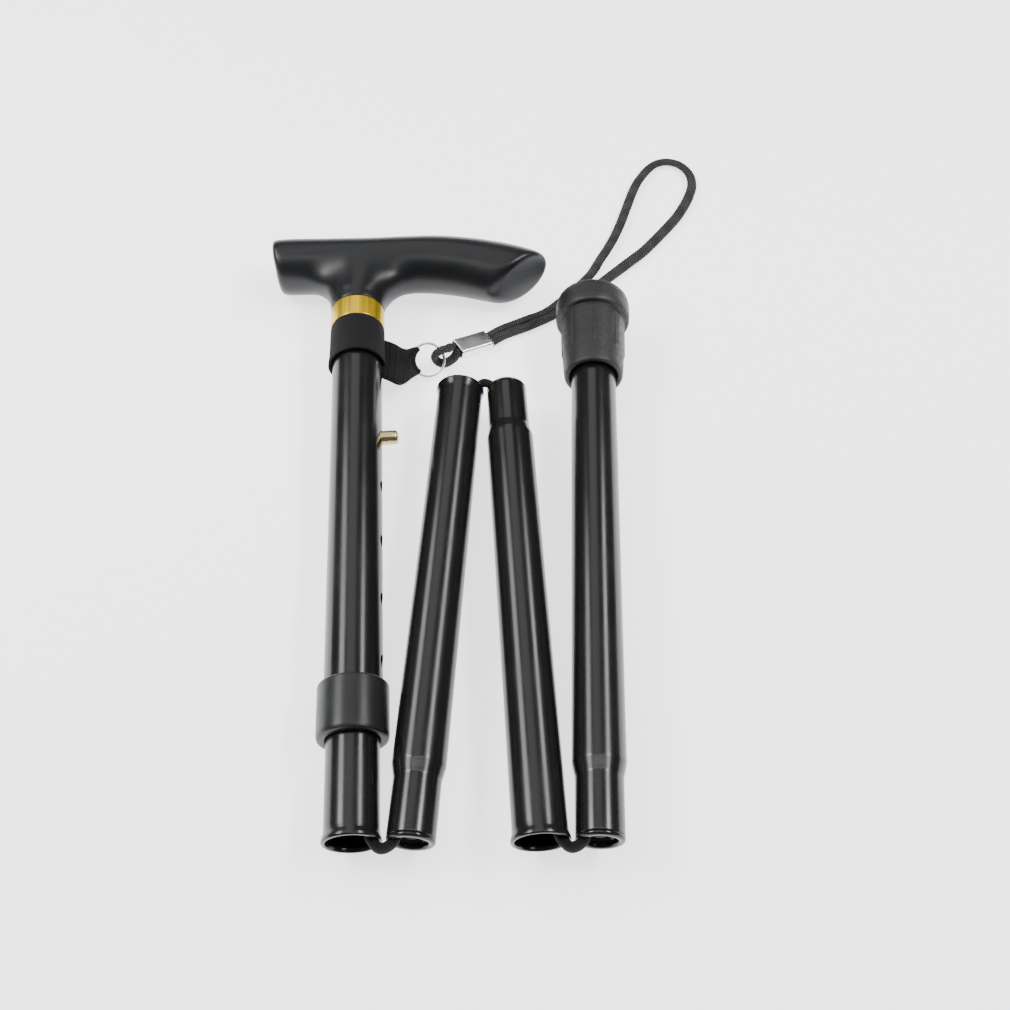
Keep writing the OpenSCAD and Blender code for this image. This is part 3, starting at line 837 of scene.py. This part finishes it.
def bore(tube, cutters):
    """Cuts the cutters' holes through the tube's wall."""
    settings = {"operation": "DIFFERENCE", "solver": "EXACT"}
    evaluated(tube, *[("BOOLEAN", {**settings, "object": rod}) for rod in cutters])
    for rod in cutters:
        bpy.data.objects.remove(rod)
    tube.data.polygons.foreach_set("use_smooth", [True] * len(tube.data.polygons))
    tube.data.set_sharp_from_angle(angle=math.radians(40))


def make_outer_tube():
    outline = [
        (STEM_BORE_R, STEM_BOTTOM), (STEM_R, STEM_BOTTOM), (STEM_R, STEM_TOP), (STEM_BORE_R, STEM_TOP),
    ]
    name = "outer_tube_black"
    tube = turned(name, outline, ON_STEM, "tube_black", 0.25, TUBE_SIDES, None, TUBE_STEP)
    heights = [BUTTON_Z - i * HOLE_PITCH for i in range(HOLE_COUNT)]
    bore(tube, [cutter(z, STEM_R + 2) for z in heights])
    settle(tube, "stem", "tube_black", "outer_tube")


def make_inner_tube():
    outline = lip_outline(0, 1) + [(TUBE_R, INNER_TOP), (BORE_R, INNER_TOP)]
    name = "inner_tube_black"
    tube = turned(name, outline, ON_STEM, "tube_black", 0.3, TUBE_SIDES, None, TUBE_STEP)
    bore(tube, [cutter(BUTTON_Z, TUBE_R + 2)])
    settle(tube, "sliding_tube", "tube_black", "inner_tube")


def make_necked_tube(number, length, has_mouth):
    """A section's tube: reduced neck, shoulder and, above, its mouth or the end in the ferrule."""
    shoulder = NECK_LEN + SHOULDER_LEN
    rim = 1.5
    outer = [
        (TUBE_R, shoulder), (TUBE_R - 0.3, shoulder - 1.3),
        (NECK_R + 0.3, NECK_LEN + 1.3), (NECK_R, NECK_LEN), (NECK_R, rim),
    ]
    inner = [(NECK_BORE_R, rim), (NECK_BORE_R, NECK_LEN + 1), (BORE_R, shoulder + 1)]
    top = lip_outline(length, -1) if has_mouth else [(BORE_R, length), (TUBE_R, length)]
    outline = outer + inner + top
    tube = turned(f"tube_{number}_black", outline, ON_SECTION[number], "tube_black", 0.8, TUBE_SIDES)
    settle(tube, f"section_{number}", "tube_black", f"tube_{number}")


def make_neck_bush(number):
    """Plastic end bush: a rounded rim, a funnel for the cord and a sleeve inside the neck."""
    hole = SHOCK_R + 0.5
    outline = [
        (6.2, 0.15), (6.7, -0.05), (NECK_R - 0.6, 0), (NECK_R, 0.6), (NECK_R, 1.5),
        (NECK_BORE_R + 0.1, 1.6), (NECK_BORE_R, 10),
        (hole + 1.2, 10), (hole, 8.8), (hole, 7), (5.7, 2.2), (5.9, 0.6),
    ]
    bush = turned(f"neck_bush_{number}_black", outline, ON_SECTION[number], "plastic_black", 0.4, 96)
    settle(bush, f"section_{number}", "plastic_black", f"neck_bush_{number}")


# ---- collar, button, ferrule ----
def make_collar():
    """Twist collar: straight wall, softly rounded ends and a thin lip that closes on the tube."""
    r, low, high = COLLAR_R, COLLAR_BOTTOM, COLLAR_TOP
    tube_hole, lip = TUBE_R + 0.25, low + 2.1
    outline = [
        (tube_hole, low + 0.2), (TUBE_R + 0.8, low), (r - 1.5, low), (r - 0.4, low + 0.5),
        (r, low + 1.8), (r, high - 0.8), (r - 0.3, high - 0.25), (r - 0.9, high - 0.05),
        (STEM_R + 1.1, high), (STEM_R + 0.95, high - 0.3), (STEM_R + 0.9, lip), (tube_hole, lip),
    ]
    collar = turned("collar_grip", outline, ON_STEM, "collar_grey", 0.3, TUBE_SIDES)
    settle(collar, "locking_collar", "collar_grey", "locking_collar")


def make_button():
    """Snap button with a rounded tip and a fine turned line round it."""
    r, foot, groove = BUTTON_R, BUTTON_R + 0.4, BUTTON_R - 0.08
    tip = STEM_R + BUTTON_PROUD - BUTTON_ROOT
    outline = [
        (0, 0), (foot, 0), (foot, 0.5), (r, 0.55),
        (r, tip - 2.2), (groove, tip - 2.1), (groove, tip - 1.9), (r, tip - 1.8),
        (r, tip - 1.3), (r - 0.25, tip - 0.6), (r - 0.75, tip - 0.15), (r - 1.5, tip + 0.02),
        (0, tip + 0.1),
    ]
    place = ON_STEM @ shift(BUTTON_ROOT, 0, BUTTON_Z) @ rotated(90, "Y")
    button = turned("snap_button_brass", outline, place, "brass", 0.35, 64)
    settle(button, "snap_button", "brass", "snap_button")


def make_ferrule():
    """Rubber foot: rolled mouth, tapering body with short ribs, undercut flange, ring treads."""
    end = SECTION_4_LEN
    mouth, flange, floor = end - FERRULE_LEN, end - FLANGE_LEN, end - FERRULE_FLOOR
    tread_depth = tread_width = 1.6
    treads = []
    for r in (13.8, 10.3, 6.8):
        inner = r - tread_width
        treads += [(r, end), (r, end - tread_depth), (inner, end - tread_depth), (inner, end)]
    outline = [
        (TUBE_R, mouth + 2.2), (TUBE_R + 0.5, mouth + 1.6), (TUBE_R + 0.7, mouth + 0.5),
        (TUBE_R + 1.3, mouth + 0.1), (TUBE_R + 2.4, mouth), (TUBE_R + 3.1, mouth + 0.9),
        (TUBE_R + 3.4, mouth + 3.5), (TUBE_R + 3.9, mouth + 12), (TUBE_R + 4.6, flange - 1.2),
        (TUBE_R + 4.5, flange - 0.5), (TUBE_R + 4.9, flange - 0.15), (FLANGE_R - 0.8, flange),
        (FLANGE_R - 0.2, flange + 1), (FLANGE_R, flange + 3.2), (FLANGE_R - 0.1, end - 4),
        (FLANGE_R - 0.6, end - 1.4), (FLANGE_R - 2, end), *treads,
        (0, end), (0, floor), (TUBE_R, floor),
    ]
    # The ribs: how many, their half width, flank and height, and where they start
    ribs, rib_half, flank, proud, ribs_from = 8, 0.05, 0.03, 0.4, mouth + 11.4

    def swell(angle, r, z):
        if r < TUBE_R + 2.5 or z > flange - 1.6:
            return 0.0
        off = abs((angle / TURN * ribs + 0.5) % 1 - 0.5) * TURN / ribs
        side = clamped((rib_half - off) / flank)
        start = clamped((z - ribs_from) / 0.9)
        groove = -0.16 if rib_half <= off < rib_half + flank else 0
        return start * (proud * side * (flange + 6 - z) / 26 + groove)

    ferrule = turned("ferrule_rubber", outline, ON_SECTION[4], "rubber_black", 0.5, 320, swell, 0.9)
    settle(ferrule, "section_4", "rubber_black", "ferrule")


# ---- elastic cord at the folds ----
def make_shock_bend(number, mouth, mouth_lean, neck, neck_lean, way):
    """The cord's crossing from a mouth to the neck folded beside it. way is 1 where the tubes run
    up from the fold and -1 where they run down."""
    lean_x, inside, out, rise = 5.9, 2.85, 1.7, 1.6
    mouth, neck = Vector(mouth), Vector(neck)
    along_mouth = way * Vector((sine(mouth_lean), cosine(mouth_lean)))
    beside_mouth = Vector((cosine(mouth_lean), -sine(mouth_lean)))
    along_neck = way * Vector((sine(neck_lean), cosine(neck_lean)))
    points = [
        mouth + inside * along_mouth + lean_x * beside_mouth,
        mouth + Vector((lean_x + 0.7, way * 1.2)),
        mouth + Vector((FLARE_R - 1.2, -way * out)),
        neck + Vector((-8.2, -way * (out + 0.15))),
        neck + Vector((-5.6, way * 0.1)),
        neck + 3.5 * along_neck + Vector((-4.3, 0)),
        neck + 8 * along_neck,
    ]
    raised = [0.6, 0.8, 1, 1, 0.9, 0.5, 0]
    path = catmull([(*p, rise * share) for p, share in zip(points, raised)], 6)

    def circle(_, angle):
        return SHOCK_R * math.cos(angle), SHOCK_R * math.sin(angle)

    bend = swept(f"shock_bend_{number}_braid", path, circle, FOLD_PLANE, "elastic_black", (0, 0, way), 18)
    settle(bend, f"fold_link_{number}", "elastic_black", f"shock_bend_{number}")
    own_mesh(bend)


def make_shock_bends():
    make_shock_bend(1, (STEM_X, 0), STEM_LEAN, (SECTION_2_X, 0), SECTION_2_LEAN, 1)
    make_shock_bend(2, SECTION_2_TOP, SECTION_2_LEAN, SECTION_3_NECK, SECTION_3_LEAN, -1)
    make_shock_bend(3, (SECTION_3_X, 0), SECTION_3_LEAN, (SECTION_4_X, 0), SECTION_4_LEAN, 1)


# ---- CAD nodes that stay, with a finish of their own ----
KEPT_NODES = {
    "plastic_grey": ["stem_plug", "upper_cord_anchor", "lower_cord_anchor"],
    "steel": ["handle_screw", "button_spring", "ferrule_washer"],
    "plastic_black": ["collet"],
    "elastic_black": ["shock_cord_1", "shock_cord_2", "shock_cord_3", "shock_cord_4"],
}


def finish_kept_nodes():
    for look, names in KEPT_NODES.items():
        for name in names:
            NODES[name].data.materials.clear()
            NODES[name].data.materials.append(LOOKS[look])


# ---- stage ----
def make_floor():
    size, below = 3.0, 0.0005
    bm = bmesh.new()
    bmesh.ops.create_grid(bm, x_segments=1, y_segments=1, size=size)
    mesh = bpy.data.meshes.new("floor")
    bm.to_mesh(mesh)
    bm.free()
    mesh.materials.append(floor_material())
    floor = bpy.data.objects.new("floor", mesh)
    floor.location = (0, 0, -below)
    bpy.context.scene.collection.objects.link(floor)


def make_light(name, place, tilt, size, radiance):
    """A rectangular light, its place and size in metres. tilt is its turn about X and Y in
    degrees, from facing down."""
    light = bpy.data.lights.new(name, "AREA")
    light.shape = "RECTANGLE"
    light.size, light.size_y = size
    light.energy = radiance * math.pi * size[0] * size[1]
    made = bpy.data.objects.new(name, light)
    made.location = place
    made.rotation_euler = (math.radians(tilt[0]), math.radians(tilt[1]), 0)
    bpy.context.scene.collection.objects.link(made)


def make_stage():
    """Strips along the cane give each tube its two highlights, and a strip across it and a
    panel light the rest. The two small glint panels brighten the necks' highlights."""
    make_floor()
    make_light("strip_left", (-0.66, 0.2, 0.72), (0, -42), (0.3, 0.9), 8.5)
    make_light("strip_right", (0.62, 0.2, 0.82), (0, 36), (0.2, 1.0), 13.0)
    make_light("top_panel", (-0.16, 0.75, 1.1), (-20, 0), (0.7, 1.3), 1.4)
    make_light("strip_over", (0.0, -0.12, 1.0), (0, 0), (1.0, 0.14), 5.0)
    make_light("glint_left", (-0.6, 0.03, 0.7), (0, -42), (0.22, 0.08), 40.0)
    make_light("glint_right", (0.57, 0.03, 0.8), (0, 36), (0.16, 0.08), 40.0)
    world = bpy.data.worlds.new("world")
    world.use_nodes = True
    sky = world.node_tree.nodes["Background"].inputs
    sky["Color"].default_value = (0.95, 0.97, 1.0, 1)
    sky["Strength"].default_value = 0.16
    bpy.context.scene.world = world


lanyard, lanyard_path = make_lanyard()
crimp = make_crimp()
make_split_ring()
make_outer_tube()
make_inner_tube()
make_strap_band()
make_strap_tab()
make_handle()
make_trim_ring()
make_collar()
make_button()
make_ferrule()
make_necked_tube(2, SECTION_2_LEN, True)
make_necked_tube(3, SECTION_3_LEN, True)
make_necked_tube(4, SECTION_4_LEN - FERRULE_FLOOR - WASHER_THICK, False)
for bush_number in (2, 3, 4):
    make_neck_bush(bush_number)
make_shock_bends()
finish_kept_nodes()
make_stage()
